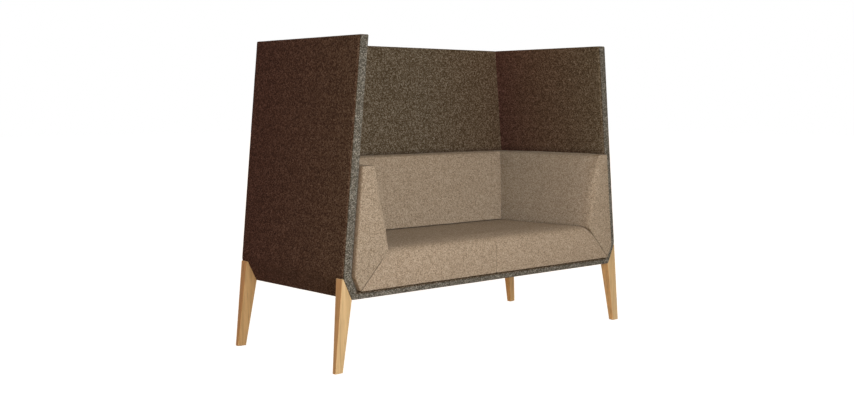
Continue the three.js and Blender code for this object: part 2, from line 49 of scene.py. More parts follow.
# Sizes of the shell and the pads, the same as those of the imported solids
FRONT = -0.340
DEPTH = 0.701
REAR = FRONT + DEPTH
LOWER = np.array([0.751, 0.276])
FOLD = np.array([0.792, 0.3627])
RIM = np.array([0.7035, 1.270])
SIDE_WALL = 0.0368
CORNER_WALL = 0.034
BASE_WALL = 0.028
BACK_WALL = 0.037
BAND_DEPTH = 0.004
PAD_GAP = 0.002
PAD_PROUD = 0.021
PAD_BOTTOM = 0.306
SEAT_TOP = 0.461
PAD_TOP = 0.783
ARM_AT_SEAT = 0.1635
ARM_AT_TOP = 0.068
BACK_AT_SEAT = 0.142
BACK_AT_TOP = 0.067
BACK_FACE = DEPTH - BACK_WALL
PAD_REAR = BACK_FACE - PAD_GAP
CREASE = BACK_FACE - BACK_AT_SEAT

# Felt. Steps are the lengths of faces, which are finer near an edge.
FELT_THICKNESS = 0.0026
FELT_ROUNDING = 0.0032
FELT_NAP = 0.0015
BAND_ROUNDING = 0.0034
BAND_CROWN = 0.0008
BAND_WAVE = 0.0003
FOLD_REACH = 0.012
LOWER_REACH = 0.006
LOWER_ROUNDING = 0.004
SIDE_LAP = 0.012
BASE_INSET = 0.0126
FELT_FRONT = DEPTH - BAND_DEPTH - 0.0004
FELT_WAVE = 0.00025
FELT_STEP = 0.012
FINE_LENGTH = 0.012
FINE_STEPS = 8
SEAM_TUCK = 0.0016
ARC_POINTS = 6

# Pads
PAD_STEP = 0.012
PAD_START_INSET = 0.0025
END_STEP = 0.02
SEAM_ROUNDING = 0.0035
SEAM_GAP = 0.0003
SEAM_DRAW = 0.005
APRON_DRAW = 0.003
SEAT_DROP = 0.0070
DROP_START = 0.02
DROP_HEIGHTS = (0.38, 0.45)
BACK_LIFT = 0.0006
FACE_TURN_LENGTH = 0.100
FACE_BULGE = 0.006
SEAT_EDGE_REACH = (0.054, 0.062)
GROOVE_DEPTH = 0.0034
GROOVE_WIDTH = 0.0026
HELD_WIDTH = 0.006
NOTCH_RISE = 0.0035
NOTCH_WIDTH = 0.004
FABRIC_WAVE = 0.0009
FABRIC_SINK = 0.0004
FRAMES = 20
MOST_SWELL = 0.006
CLOTH = {
    "pin_stiffness": 1.0,
    "quality": 6,
    "tension_stiffness": 25,
    "compression_stiffness": 25,
    "shear_stiffness": 10,
    "bending_stiffness": 1.0,
    "use_pressure": True,
    "uniform_pressure_force": 4.0,
}

# The arm's sides: the shell's corner, the shell, the top, the face and the mitre. For each: how far it
# starts inside the solid, its corner's reach, and the length and reach of its turn towards the front.
ARM_SIDES = [
    (0, 0.004, (0.010, 0.004)),
    (0, 0.006, (0.012, 0.006)),
    (0.0012, 0.006, (0.004, 0.0012)),
    (PAD_START_INSET, 0.008, (FACE_TURN_LENGTH, 0.0095)),
    (0.0004, 0.004, (0.006, 0.0022)),
]
# Distances from the arm's front at which its turn is drawn
ARM_FRONT_STEPS = [
    0.087, 0.074, 0.062, 0.050, 0.039, 0.029, 0.021, 0.015, 0.010, 0.0065, 0.004, 0.0022, 0.0009, 0.0
]

# Legs
LEG_INSET = 0.004
LEG_PROUD = 0.005
LEG_TOP_DROP = 0.0047
LEG_TOP_DEPTH = 0.0385
FOOT_OUT = 0.040
FOOT_WIDTH = 0.036
FOOT_OUTER_DEPTH = 0.018
FOOT_INNER_DEPTH = 0.025
FOOT_HEIGHT = 0.0012
LEG_EDGE = 0.0022
LEG_GAP = 0.0003

# Camera, fitted to the photograph
CAMERA_PLACE = (-3.357, -3.693, 1.014)
CAMERA_TURN = (math.pi / 2 - 0.0891, 0.0, -0.7267)
CAMERA_LENS = 47.93
SENSOR_WIDTH = 36.0


# Lines and outlines. An outline runs anticlockwise, so its inside is on its left.

def unit(vector):
    return vector / np.linalg.norm(vector)


def cross2(a, b):
    return a[0] * b[1] - a[1] * b[0]


def line_inside(start, end, distance):
    """The line from one point to another, moved to its left by a distance: (a point, a direction)."""
    along = unit(np.subtract(end, start))
    return np.asarray(start, float) + distance * np.array([-along[1], along[0]]), along


def level(height):
    return np.array([0.0, height]), np.array([1.0, 0.0])


def crossing(first, second):
    reach = cross2(second[0] - first[0], second[1]) / cross2(first[1], second[1])
    return first[0] + reach * first[1]


def inset_outline(corners, distances):
    """An outline with each side moved inwards by its own distance."""
    after = [*corners[1:], corners[0]]
    sides = [line_inside(a, b, d) for a, b, d in zip(corners, after, distances)]
    return [crossing(sides[i - 1], side) for i, side in enumerate(sides)]


def towards(start, end, distance):
    return start + distance * unit(end - start)


def bend(before, corner, after, reach_before, reach_after, count):
    """Points round a corner on a quadratic curve that starts and ends at its reaches."""
    start = towards(corner, before, reach_before)
    end = towards(corner, after, reach_after)
    t = np.linspace(0, 1, count)[:, None]
    return (1 - t) ** 2 * start + 2 * t * (1 - t) * corner + t**2 * end


def both(reach):
    """A corner's reach before and after it, also where one number says both."""
    return reach if isinstance(reach, tuple) else (reach, reach)


def joined(bends, counts):
    """Points along a row of bends, with counts[i] spans between bends i and i + 1."""
    rows = [*bends[0]]
    for before, after, count in zip(bends, bends[1:], counts):
        share = np.arange(1, count)[:, None] / count
        rows.extend(before[-1] + share * (after[0] - before[-1]))
        rows.extend(after)
    return np.array(rows)


def rounded_bends(line, reaches):
    """A bend for each point of a line but its ends."""
    line = [np.asarray(point, float) for point in line]
    return [bend(*line[i : i + 3], *both(reach), ARC_POINTS) for i, reach in enumerate(reaches)]


def rounded_outline(corners, reaches, counts):
    """A closed outline with rounded corners."""
    bends = rounded_bends([corners[-1], *corners, corners[0]], reaches)
    return joined([*bends, bends[0]], counts)[:-ARC_POINTS]


def spans(corners, step):
    """How many spans of about a step each side of an outline has."""
    after = [*corners[1:], corners[0]]
    return [max(2, round(np.linalg.norm(np.subtract(b, a)) / step)) for a, b in zip(corners, after)]


def rounded_end(radius, count):
    """Steps round a quarter circle from a flat end: (distance from the end, share taken off)."""
    angles = np.linspace(0, math.pi / 2, count)
    return [(radius * (1 - math.cos(a)), 1 - math.sin(a)) for a in angles]


def drawn_in(along, length, reach):
    """How far a side is drawn in at a distance from the end, on a quarter ellipse."""
    return reach * (1 - math.sqrt(1 - max(0.0, 1 - along / length) ** 2))


def graded(length, step, fine, steps):
    """Distances from zero to a length: a few fine ones first, then even ones."""
    first = [fine * (k / steps) for k in range(steps + 1)]
    rest = max(2, round((length - fine) / step))
    return np.array(first + [fine + (length - fine) * k / rest for k in range(1, rest + 1)])


def felt_steps(length):
    return graded(length, FELT_STEP, FINE_LENGTH, FINE_STEPS)


# The shell's section. Each line can be taken at any depth under the outer face.

def base_line(depth):
    return line_inside((0, LOWER[1]), LOWER, depth)


def corner_line(depth):
    return line_inside(LOWER, FOLD, depth)


def side_line(depth):
    return line_inside(FOLD, RIM, depth)


INNER_LOWER = crossing(base_line(BASE_WALL), corner_line(CORNER_WALL))
INNER_FOLD = crossing(corner_line(CORNER_WALL), side_line(SIDE_WALL))
INNER_RIM = crossing(side_line(SIDE_WALL), level(RIM[1]))
WALL_ACROSS = RIM[0] - INNER_RIM[0]

ARM_SHELL = side_line(SIDE_WALL + PAD_GAP)
ARM_CORNER = corner_line(CORNER_WALL + PAD_GAP)
ARM_TOE = crossing(ARM_CORNER, level(PAD_BOTTOM))
ARM_FOLD = crossing(ARM_CORNER, ARM_SHELL)
ARM_OUTER_TOP = crossing(ARM_SHELL, level(PAD_TOP))
ARM_INNER_TOP = ARM_OUTER_TOP - (ARM_AT_TOP, 0)
ARM_CREASE = crossing(ARM_SHELL, level(SEAT_TOP)) - (ARM_AT_SEAT, 0)


def outer_at(height):
    """Half width of the shell's outside at a height."""
    height = np.asarray(height, float)
    low = LOWER[0] + (height - LOWER[1]) * (FOLD[0] - LOWER[0]) / (FOLD[1] - LOWER[1])
    high = FOLD[0] + (height - FOLD[1]) * (RIM[0] - FOLD[0]) / (RIM[1] - FOLD[1])
    return np.where(height < FOLD[1], low, high)


def up_pads(height):
    """The share of a height between the seat's top and the pads' top."""
    return (height - SEAT_TOP) / (PAD_TOP - SEAT_TOP)


def arm_face_at(height):
    """Half width between the arms' faces at a height above the seat."""
    return ARM_CREASE[0] + (ARM_INNER_TOP[0] - ARM_CREASE[0]) * up_pads(height)


def seat_drop(depth):
    """How far the seat's top falls from its front edge to the back pad."""
    return SEAT_DROP * np.clip((depth - DROP_START) / (CREASE - DROP_START), 0, 1)


def crease_at(depth):
    """Where seat and arm meet at a depth."""
    height = SEAT_TOP - seat_drop(depth)
    return np.array([arm_face_at(height), height])


def mitre_at(height, depth):
    """Half width of the seat at a height, which is the plane between seat and arm."""
    crease = crease_at(depth)
    share = (height - PAD_BOTTOM) / (crease[1] - PAD_BOTTOM)
    return ARM_TOE[0] + (crease[0] - ARM_TOE[0]) * share


def back_face_at(height):
    """Depth of the back pad's face at a height above the seat."""
    return CREASE + (BACK_FACE - BACK_AT_TOP - CREASE) * up_pads(height)


# Meshes

def add_object(name, data):
    obj = bpy.data.objects.new(name, data)
    scene.collection.objects.link(obj)
    return obj


def make_object(name, points, faces):
    mesh = bpy.data.meshes.new(name)
    mesh.from_pydata([tuple(p) for p in points], [], [tuple(f) for f in faces])
    mesh.validate()
    bm = bmesh.new()
    bm.from_mesh(mesh)
    bmesh.ops.remove_doubles(bm, verts=bm.verts, dist=1e-6)
    bmesh.ops.recalc_face_normals(bm, faces=bm.faces)
    bm.to_mesh(mesh)
    bm.free()
    obj = add_object(name, mesh)
    smooth(obj)
    return obj


def smooth(obj):
    obj.data.polygons.foreach_set("use_smooth", [True] * len(obj.data.polygons))
    obj.data.update()


def vectors(mesh, kind):
    values = np.empty(len(mesh.vertices) * 3)
    mesh.vertices.foreach_get(kind, values)
    return values.reshape(-1, 3)


def places(obj):
    return vectors(obj.data, "co")


def set_places(obj, points):
    obj.data.vertices.foreach_set("co", np.ascontiguousarray(points, float).ravel())
    obj.data.update()


def normals(obj):
    return vectors(obj.data, "normal")


def apply_modifiers(obj):
    graph = bpy.context.evaluated_depsgraph_get()
    mesh = bpy.data.meshes.new_from_object(obj.evaluated_get(graph))
    old = obj.data
    obj.modifiers.clear()
    obj.data = mesh
    bpy.data.meshes.remove(old)
    mesh.name = obj.name
    smooth(obj)


def grid_faces(rows, columns):
    starts = [i * columns + j for i in range(rows - 1) for j in range(columns - 1)]
    return [(k, k + 1, k + columns + 1, k + columns) for k in starts]


def fill(outline, step):
    """Triangles over an outline with points inside it: (the points inside, the triangles)."""
    low, high = outline.min(0), outline.max(0)
    inside = []
    edge = np.roll(outline, -1, axis=0) - outline
    length = np.linalg.norm(edge, axis=1)
    for row, y in enumerate(np.arange(low[1] + step / 2, high[1], step * 0.87)):
        for x in np.arange(low[0] + step / 2 * (1 + row % 2), high[0], step):
            away = ((x - outline[:, 0]) * -edge[:, 1] + (y - outline[:, 1]) * edge[:, 0]) / length
            if away.min() > step * 0.45:
                inside.append((x, y))
    points = [Vector(p) for p in outline] + [Vector(p) for p in inside]
    found = delaunay_2d_cdt(points, [], [list(range(len(outline)))], 1, 1e-9)
    origin = [o[0] for o in found[3]]
    return inside, [[origin[i] for i in face] for face in found[2]]


def loft(name, outlines, place, step):
    """A closed solid through a row of outlines, with filled ends. place(points, station) makes them 3-D."""
    size = len(outlines[0])
    points = [point for station, outline in enumerate(outlines) for point in place(outline, station)]
    faces = []
    for station in range(len(outlines) - 1):
        for i in range(size):
            a, b = station * size + i, station * size + (i + 1) % size
            faces.append((a, b, b + size, a + size))
    for station in (0, len(outlines) - 1):
        inside, triangles = fill(outlines[station], step)
        start = len(points)
        if inside:
            points.extend(place(np.array(inside), station))
        for triangle in triangles:
            faces.append([station * size + i if i < size else start + i - size for i in triangle])
    return make_object(name, points, faces)


def ripple(points, wavelength, seed):
    """A smooth wave from -1 to 1 over points, made of a few plane waves."""
    count = 7
    random = np.random.default_rng(seed)
    total = np.zeros(len(points))
    for _ in range(count):
        direction = unit(random.normal(size=3))
        size = wavelength * random.uniform(0.7, 1.5)
        total += np.sin(points @ direction * (2 * math.pi / size) + random.uniform(0, 2 * math.pi))
    return total / count


def ease(value, start, end):
    """Zero before start, one after end, and smooth between them."""
    share = np.clip((value - start) / (end - start), 0, 1)
    return share * share * (3 - 2 * share)


def near(distance, start, end):
    """One up to start, and zero from end on."""
    return 1 - ease(distance, start, end)


# Felt of the shell. Sheets are laid out on sharp corners, which are then rounded: across is the
# distance from the outside of the side, back that from the rear and down that from the top.

def round_corner(distances, radius):
    """How far points move so that the corner at zero distance from each face is rounded."""
    distances = np.stack(np.broadcast_arrays(*distances), axis=-1)
    nearest = np.maximum(distances, radius)
    offset = nearest - distances
    size = np.linalg.norm(offset, axis=-1, keepdims=True)
    moved = nearest - offset * np.minimum(1, radius / np.maximum(size, 1e-12))
    return moved - distances


def side_section():
    """The right side's section from the underside to the inner face: points, and their share across."""
    under = LOWER - (SIDE_LAP, 0)
    lower = bend(under, LOWER, FOLD, LOWER_REACH, LOWER_REACH, 5)
    fold = bend(LOWER, FOLD, RIM, FOLD_REACH, FOLD_REACH, 6)
    rise = felt_steps(np.linalg.norm(RIM - fold[-1]))[::-1][1:]
    over = fine_both_ends(WALL_ACROSS, FINE_LENGTH, FINE_STEPS)[1:]
    fall = felt_steps(np.linalg.norm(INNER_FOLD - INNER_RIM))[1:]
    outside = [under, *lower, *stretch(lower[-1], fold[0], FELT_STEP), *fold]
    outside += [towards(RIM, fold[-1], distance) for distance in rise]
    top = [RIM + share * (INNER_RIM - RIM) for share in over]
    inside = [towards(INNER_RIM, INNER_FOLD, distance) for distance in fall]
    shares = np.concatenate([np.zeros(len(outside)), over, np.ones(len(inside))])
    return np.array([*outside, *top, *inside]), shares


def stretch(start, end, step):
    """Points between two others, without them."""
    count = max(2, round(np.linalg.norm(end - start) / step))
    return [start + (end - start) * k / count for k in range(1, count)]


def fine_both_ends(length, fine, steps):
    """Shares of a length from 0 to 1 that lie closer together near both ends."""
    first = np.linspace(0, fine / length, steps + 1)
    middle = np.linspace(first[-1], 1 - first[-1], 5)[1:-1]
    return np.concatenate([first, middle, 1 - first[::-1]])


def tucked(count_from_end):
    """How far the last rows of a sheet are drawn in at a seam."""
    return SEAM_TUCK * np.where(count_from_end == 0, 1.0, np.where(count_from_end == 1, 0.35, 0.0))


def felt_sheet(name, grid, outward):
    """A sheet, thickened behind its outer face, which is the one that lies farthest outward."""
    grid = np.stack(grid, axis=-1)
    obj = make_object(name, grid.reshape(-1, 3), grid_faces(*grid.shape[:2]))
    start = places(obj)
    if normals(obj)[np.argmax(start @ outward)] @ outward < 0:
        bm = bmesh.new()
        bm.from_mesh(obj.data)
        bmesh.ops.reverse_faces(bm, faces=bm.faces)
        bm.to_mesh(obj.data)
        bm.free()
        obj.data.update()
    waves = ripple(start, 0.16, 11) + 0.5 * ripple(start, 0.05, 12)
    set_places(obj, start + normals(obj) * (FELT_NAP - FELT_WAVE * waves)[:, None])
    modifier = obj.modifiers.new("Thickness", "SOLIDIFY")
    modifier.thickness = FELT_THICKNESS
    modifier.offset = -1
    apply_modifiers(obj)
    return obj


def side_felt(side):
    """The felt of one side: outside, over the top and down the inside, mitred into the back."""
    section, share = side_section()
    wide, height, share = section[:, 0, None], section[:, 1, None], share[:, None]
    end = BACK_WALL * share
    steps = felt_steps(FELT_FRONT)
    back = end + (FELT_FRONT - end) * (steps / FELT_FRONT)
    across = WALL_ACROSS * share
    down, up = RIM[1] - height, height - LOWER[1]
    moved = round_corner((across, back, down), FELT_ROUNDING)
    inner = round_corner((WALL_ACROSS - across, down), FELT_ROUNDING)
    lower = round_corner((back, up), LOWER_ROUNDING)
    outside = share == 0
    tuck = tucked(np.where(share < 1, np.arange(len(steps)), len(steps)))
    x = wide - moved[..., 0] + inner[..., 0] - np.where(outside, tuck, 0)
    y = REAR - back - moved[..., 1] - np.where(outside, lower[..., 0], 0) - np.where(outside, tuck, 0)
    z = height - moved[..., 2] - inner[..., 1] + np.where(outside, lower[..., 1], 0)
    z = z - np.where((share > 0) & (share < 1), tuck, 0)
    sign = -1 if side == "left" else 1
    return felt_sheet(f"{side}_side_felt", (sign * x, y, z), (sign, 0, 0))


def back_section():
    """The back's section from its lower edge over the top to the inner face: (from the rear, height)."""
    rise = felt_steps((RIM[1] - LOWER[1]) / 2)
    rows = [(0.0, LOWER[1] + z) for z in rise]
    rows += [(0.0, RIM[1] - z) for z in rise[::-1][1:]]
    rows += [(BACK_WALL * s, RIM[1]) for s in fine_both_ends(BACK_WALL, FINE_LENGTH, FINE_STEPS)[1:]]
    rows += [(BACK_WALL, RIM[1] - z) for z in felt_steps(RIM[1] - INNER_FOLD[1])[1:]]
    return np.array(rows)


def back_felt():
    """The felt of the back: its rear face, over the top and down the inside between the sides."""
    section = back_section()
    back, height = section[:, 0, None], section[:, 1, None]
    wide = outer_at(height)
    steps = graded(1.0, 0.018, 0.018, FINE_STEPS)
    shares = 1 - np.concatenate([steps, 2 - steps[::-1][1:]])
    x = (wide - WALL_ACROSS * back / BACK_WALL) * shares
    down, up = RIM[1] - height, height - LOWER[1]
    moved = round_corner((wide - np.abs(x), back, down), FELT_ROUNDING)
    inner = round_corner((BACK_WALL - back, down), FELT_ROUNDING)
    lower = round_corner((back, up), LOWER_ROUNDING)
    rear = back == 0
    edge = np.arange(len(shares))
    tuck = np.where(back < BACK_WALL, tucked(np.minimum(edge, edge[::-1])), 0)
    x = x - np.sign(x) * (moved[..., 0] + np.where(rear, tuck, 0))
    y = REAR - back - moved[..., 1] + inner[..., 0] - np.where(rear, lower[..., 0] + tuck, 0)
    z = height - moved[..., 2] - inner[..., 1] + np.where(rear, lower[..., 1], -tuck)
    return felt_sheet("back_felt", (x, y, z), (0, 1, 0))


def base_felt():
    """The felt of the underside, between the sides' lower edges."""
    half = LOWER[0] - BASE_INSET
    rows, columns = graded(FELT_FRONT, 0.02, 0.008, 6), np.linspace(-half, half, 76)
    back, x = np.meshgrid(rows, columns, indexing="ij")
    lower = round_corner((back, 0.0), LOWER_ROUNDING)
    y = REAR - back - lower[..., 0]
    return felt_sheet("base_felt", (x, y, LOWER[1] + lower[..., 1]), (0, 0, -1))


def edge_band():
    """The band on the shell's front edge, in one run from the left rim to the right one."""
    flip = np.array([-1.0, 1.0])
    counts = [100, 8, 130, 8, 100]
    reaches = [0.010, 0.008, 0.008, 0.010]
    near_rim = np.linspace(0, 0.012, 9)
    lines = []
    nap_low = crossing(base_line(-FELT_NAP), corner_line(-FELT_NAP))
    nap_fold = crossing(corner_line(-FELT_NAP), side_line(-FELT_NAP))
    nap_rim = crossing(side_line(-FELT_NAP), level(RIM[1]))
    for corner, fold, rim in ((nap_low, nap_fold, nap_rim), (INNER_LOWER, INNER_FOLD, INNER_RIM)):
        line = [rim * flip, fold * flip, corner * flip, corner, fold, rim]
        line = joined([line[:1], *rounded_bends(line, reaches), line[-1:]], counts)
        line = line[line[:, 1] < RIM[1] - near_rim[-1] - 0.004]
        down = towards(rim, fold, near_rim[:, None])
        lines.append(np.concatenate([down * flip, line, down[::-1]]))
    flank = np.linspace(BAND_DEPTH, 0, 7)
    front = fine_both_ends(WALL_ACROSS, 0.006, FINE_STEPS)[1:-1]
    depth = np.concatenate([flank, np.zeros(len(front)), flank[::-1]])
    share = np.concatenate([np.zeros(len(flank)), front, np.ones(len(flank))])
    points = []
    for outer, inner in zip(*lines):
        wall = np.linalg.norm(inner - outer)
        along = (inner - outer) / wall
        down = RIM[1] - outer[1]
        first = round_corner((share * wall, depth, down), BAND_ROUNDING)
        second = round_corner(((1 - share) * wall, depth, down), BAND_ROUNDING)
        _, back, sink = np.maximum(first, second).T
        across = share * wall + first[:, 0] - second[:, 0]
        down = down + sink
        top_outer = round_corner((across, down), FELT_ROUNDING)
        top_inner = round_corner((wall - across, down), FELT_ROUNDING)
        sunk = sink + np.maximum(top_outer[:, 1], top_inner[:, 1])
        flat = outer + (across + top_outer[:, 0] - top_inner[:, 0])[:, None] * along
        away = depth + back + BAND_CROWN - BAND_CROWN * 4 * share * (1 - share)
        points.extend(np.stack([flat[:, 0], FRONT + away, flat[:, 1] - sunk], axis=-1))
    rows, columns = len(lines[0]), len(share)
    faces = grid_faces(rows, columns)
    for i in range(rows - 1):
        faces.append((i * columns, (i + 1) * columns, (i + 2) * columns - 1, (i + 1) * columns - 1))
    for row in (0, rows - 1):
        faces.append([row * columns + j for j in range(columns)])
    obj = make_object("edge_band", points, faces)
    co = places(obj)
    waves = ripple(co, 0.09, 21) + 0.6 * ripple(co, 0.03, 22)
    facing = np.clip(-normals(obj)[:, 1], 0, 1)
    set_places(obj, co - normals(obj) * (BAND_WAVE * (1.2 + waves) * facing)[:, None])
    return obj


# Pads

def inflate(obj, held, most):
    """Lets a closed form swell like a filled cover. held is 1 where it is sewn or rests on something."""
    start = places(obj)
    group = obj.vertex_groups.new(name="held")
    weights = np.round(held, 1)
    for weight in np.unique(weights[weights > 0]):
        group.add(np.nonzero(weights == weight)[0].tolist(), float(weight), "REPLACE")
    cloth = obj.modifiers.new("Cloth", "CLOTH")
    cloth.settings.vertex_group_mass = group.name
    for name, value in CLOTH.items():
        setattr(cloth.settings, name, value)
    cloth.settings.effector_weights.gravity = 0
    cloth.collision_settings.use_collision = False
    for number in range(1, FRAMES + 1):
        scene.frame_set(number)
    graph = bpy.context.evaluated_depsgraph_get()
    shaped = bpy.data.meshes.new_from_object(obj.evaluated_get(graph))
    move = vectors(shaped, "co") - start
    bpy.data.meshes.remove(shaped)
    obj.modifiers.remove(cloth)
    obj.vertex_groups.clear()
    scene.frame_set(1)
    size = np.linalg.norm(move, axis=1)
    limited = most * np.tanh(size / most) / np.maximum(size, 1e-9)
    set_places(obj, start + move * limited[:, None])


def upholster(obj, held, most, seed, sew=None):
    """Swells a pad, makes its mesh finer, sews it and leaves it as uneven as fabric over foam."""
    inflate(obj, held, most)
    modifier = obj.modifiers.new("Finer", "SUBSURF")
    modifier.levels = modifier.render_levels = 1
    apply_modifiers(obj)
    if sew:
        set_places(obj, sew(places(obj), normals(obj)))
    co = places(obj)
    waves = 0.7 * ripple(co, 0.22, seed) + 0.3 * ripple(co, 0.07, seed + 50)
    set_places(obj, co + normals(obj) * (FABRIC_WAVE * waves - FABRIC_SINK)[:, None])
    return obj


def arm_pad(side):
    """An arm: a wedge that leans on the shell's side, with a face, a top, a front and a mitred foot."""
    corners = [ARM_TOE, ARM_FOLD, ARM_OUTER_TOP, ARM_INNER_TOP]
    insets, reaches, turns = zip(*ARM_SIDES)
    counts = spans([*corners, ARM_CREASE], PAD_STEP)
    front = PAD_START_INSET - PAD_PROUD
    straight = front + FACE_TURN_LENGTH
    number = round((PAD_REAR - straight) / PAD_STEP)
    stations = [PAD_REAR + (straight - PAD_REAR) * k / number for k in range(number + 1)]
    stations += [front + along for along in ARM_FRONT_STEPS]
    outlines = []
    for y in stations:
        drawn = [inset + drawn_in(y - front, *turn) for inset, turn in zip(insets, turns)]
        outlines.append(rounded_outline(inset_outline([*corners, crease_at(y)], drawn), reaches, counts))
    sign = -1 if side == "left" else 1

    def place(outline, station):
        depth = np.full(len(outline), FRONT + stations[station])
        share = np.clip(up_pads(outline[:, 1]), 0, 1)
        from_shell = np.clip(inside_distance(outline, ARM_SHELL) / ARM_AT_TOP, 0, 1)
        across = outline[:, 0] - FACE_BULGE * 4 * share * (1 - share) * from_shell
        return np.stack([sign * across, depth, outline[:, 1]], axis=-1)

    obj = loft(f"{side}_arm_pad", outlines, place, PAD_STEP)
    co = places(obj)
    depth, height = co[:, 1] - FRONT, co[:, 2]
    flat = np.abs(co[:, [0, 2]])
    to_shell = np.minimum(inside_distance(flat, ARM_SHELL), inside_distance(flat, ARM_CORNER))
    to_mitre = np.abs(0.73 * (mitre_at(height, depth) - flat[:, 0]))
    to_top_seam = np.hypot(PAD_TOP - PAD_START_INSET - height, depth - front)
    held = [
        near(to_shell, 0.002, 0.012),
        ease(depth - back_face_at(height), -0.012, 0.004),
        near(to_mitre, 0.002, 0.010),
        0.9 * near(to_top_seam, 0.003, 0.014),
    ]
    return upholster(obj, np.maximum.reduce(held), MOST_SWELL, 31 if side == "left" else 32)


def inside_distance(points, line):
    """Distance of points to the left of a line."""
    start, along = line
    return along[0] * (points[:, 1] - start[1]) - along[1] * (points[:, 0] - start[0])


def across_stations(seam):
    """Stations of a pad from arm to arm: a share of the half width, an offset from it, and a draw."""
    ends = [(1.0, along + SEAM_GAP, share) for along, share in rounded_end(SEAM_ROUNDING, 5)]
    right = [(0.0, -offset, 0.0) for offset in (0.0015, 0.0035, 0.007) if seam]
    right += [(k / 48, 0.0, 0.0) for k in range(1, 48)]
    right += ends[::-1]
    left = [(*station, -1) for station in right[::-1]]
    return left + [(0.0, 0.0, 0.0, 1)] + [(*station, 1) for station in right]


def wide_pad(name, corners, reaches, apron_draw, seam, shape):
    """A pad from arm to arm. shape gives an outline's half width and height from its depth and height."""
    corners = inset_outline(corners, [0, 0, PAD_START_INSET, PAD_START_INSET])
    counts = spans(corners, PAD_STEP)
    stations = across_stations(seam)
    outlines = []
    for _, _, draw, _ in stations:
        drawn = inset_outline(corners, [apron_draw * draw, 0, SEAM_DRAW * draw, SEAM_DRAW * draw])
        outlines.append(rounded_outline(drawn, reaches, counts))

    def place(outline, station):
        share, offset, _, sign = stations[station]
        half, height = shape(outline[:, 0], outline[:, 1])
        return np.stack([sign * (share * half - offset), FRONT + outline[:, 0], height], axis=-1)

    return loft(name, outlines, place, END_STEP)


def seat_pad():
    """The seat: one wide pad with an apron down its front and a sewn seam at the middle of the front."""

    def shape(depth, height):
        height = height - seat_drop(depth) * ease(height, *DROP_HEIGHTS)
        return mitre_at(height, depth), height

    def sew(co, normal):
        groove = GROOVE_DEPTH * centre_seam(co) * np.exp(-((co[:, 0] / GROOVE_WIDTH) ** 2))
        co = co - normal * groove[:, None]
        low = near(co[:, 2], PAD_BOTTOM, PAD_BOTTOM + 0.008)
        co[:, 2] += NOTCH_RISE * low * np.exp(-((co[:, 0] / NOTCH_WIDTH) ** 2)) * (co[:, 1] < FRONT)
        return co

    front = -PAD_PROUD
    corners = [(front, PAD_BOTTOM), (PAD_REAR, PAD_BOTTOM), (PAD_REAR, SEAT_TOP), (front, SEAT_TOP)]
    obj = wide_pad("seat_pad", corners, [0.0035, 0.004, 0.004, SEAT_EDGE_REACH], APRON_DRAW, True, shape)
    co = places(obj)
    to_mitre = mitre_at(co[:, 2], co[:, 1] - FRONT) - np.abs(co[:, 0])
    held = [
        near(to_mitre, 0.004, 0.016),
        ease(co[:, 1], FRONT + CREASE - 0.07, FRONT + CREASE),
        near(co[:, 2], PAD_BOTTOM + 0.002, PAD_BOTTOM + 0.012),
        centre_seam(co),
    ]
    from_edge = np.hypot(co[:, 1] - (FRONT - PAD_PROUD), co[:, 2] - SEAT_TOP)
    most = MOST_SWELL * (0.1 + 0.9 * ease(from_edge, 0.04, 0.12))
    return upholster(obj, np.maximum.reduce(held), most, 33, sew)


def centre_seam(points):
    """One on the seam at the middle of the apron, and less beside it."""
    on_front = near(points[:, 1], FRONT - PAD_PROUD + 0.010, FRONT + 0.015)
    return on_front * np.exp(-((points[:, 0] / HELD_WIDTH) ** 2))


def back_pad():
    """The back: a wedge between the arms that stands on the seat."""
    low = SEAT_TOP + BACK_LIFT - SEAT_DROP
    corners = [(CREASE, low), (PAD_REAR, low), (PAD_REAR, PAD_TOP), (BACK_FACE - BACK_AT_TOP, PAD_TOP)]
    reaches = [0.003, 0.004, 0.007, 0.009]
    obj = wide_pad("back_pad", corners, reaches, 0, False, lambda _, height: (arm_face_at(height), height))
    co = places(obj)
    held = [
        near(arm_face_at(co[:, 2]) - np.abs(co[:, 0]), 0.004, 0.016),
        ease(co[:, 1], FRONT + PAD_REAR - 0.012, FRONT + PAD_REAR - 0.002),
        near(co[:, 2], low + 0.001, low + 0.045),
    ]
    return upholster(obj, np.maximum.reduce(held), MOST_SWELL, 34)


# Legs

def leg_outline():
    top = level(FOLD[1] - LEG_TOP_DROP)
    top_outer = np.array([FOLD[0] + LEG_PROUD, FOLD[1] - LEG_TOP_DROP])
    foot_outer = np.array([FOLD[0] + FOOT_OUT, FOOT_HEIGHT])
    foot_inner = foot_outer - (FOOT_WIDTH, 0)
    return [foot_inner, foot_outer, top_outer, crossing(corner_line(0), top), LOWER]


